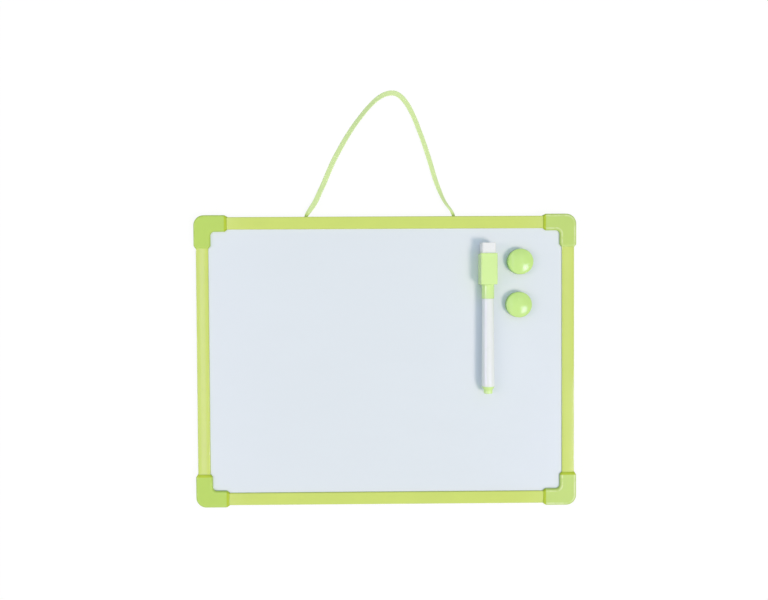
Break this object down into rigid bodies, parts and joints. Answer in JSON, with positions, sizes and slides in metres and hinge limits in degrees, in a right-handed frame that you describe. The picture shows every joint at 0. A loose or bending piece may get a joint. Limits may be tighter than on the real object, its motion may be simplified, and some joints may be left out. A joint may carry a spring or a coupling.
{
  "type": "magnetic whiteboard",
  "caption": "Small hanging magnetic dry-erase board: rail frame, push-on corner caps, ribbon loop, marker with magnetic eraser cap and round button magnets.",
  "frame": {"origin": "under the middle of the board, on the plane that the four corner caps rest on when it lies on its back", "axes": "+X to the right across the writing face, +Y up the board towards the hanging ribbon, +Z out of the writing face"},
  "size_m": [0.3, 0.3296, 0.021],
  "materials": {
    "rail_plastic": "satin extruded plastic, yellow-green",
    "corner_plastic": "smooth moulded plastic, green",
    "accessory_plastic": "glossy moulded plastic, light green",
    "coated_steel": "smooth white dry-erase coating on steel",
    "core_fibreboard": "raw fibreboard, hidden",
    "backing_plastic": "plain white sheet",
    "ribbon_fabric": "woven flat ribbon, pale green",
    "barrel_plastic": "smooth white plastic",
    "eraser_felt": "dense white felt",
    "magnet_strip": "flexible bonded magnet, dark grey",
    "ferrite": "bare ferrite, dark grey",
    "ink_fibre": "ink-soaked fibre"
  },
  "bodies": {
    "board": {"rail_top": "rail_plastic", "rail_bottom": "rail_plastic", "rail_left": "rail_plastic", "rail_right": "rail_plastic", "corner_top_left": "corner_plastic", "corner_top_right": "corner_plastic", "corner_bottom_left": "corner_plastic", "corner_bottom_right": "corner_plastic", "writing_sheet": "coated_steel", "core_board": "core_fibreboard", "backing_sheet": "backing_plastic", "hanging_ribbon": "ribbon_fabric", "ribbon_knot_left": "ribbon_fabric", "ribbon_knot_right": "ribbon_fabric"},
    "cap_with_eraser": {"marker_cap": "accessory_plastic", "marker_cap_magnet": "magnet_strip", "marker_eraser": "eraser_felt"},
    "pen": {"marker_barrel": "barrel_plastic", "marker_end_plug": "accessory_plastic", "marker_ink_reservoir": "ink_fibre", "marker_nib_holder": "barrel_plastic", "marker_nib": "ink_fibre"},
    "upper_magnet": {"magnet_upper_shell": "accessory_plastic", "magnet_upper_disc": "ferrite"},
    "lower_magnet": {"magnet_lower_shell": "accessory_plastic", "magnet_lower_disc": "ferrite"}
  },
  "joints": [
    {"name": "marker_lift", "type": "slide", "parent": "board", "child": "cap_with_eraser", "axis": [0, 0, 1], "range_m": [0, 0.06]},
    {"name": "barrel_pull", "type": "slide", "parent": "cap_with_eraser", "child": "pen", "axis": [0, -1, 0], "range_m": [0, 0.032]},
    {"name": "magnet_upper_lift", "type": "slide", "parent": "board", "child": "upper_magnet", "axis": [0, 0, 1], "range_m": [0, 0.05]},
    {"name": "magnet_lower_lift", "type": "slide", "parent": "board", "child": "lower_magnet", "axis": [0, 0, 1], "range_m": [0, 0.05]}
  ]
}
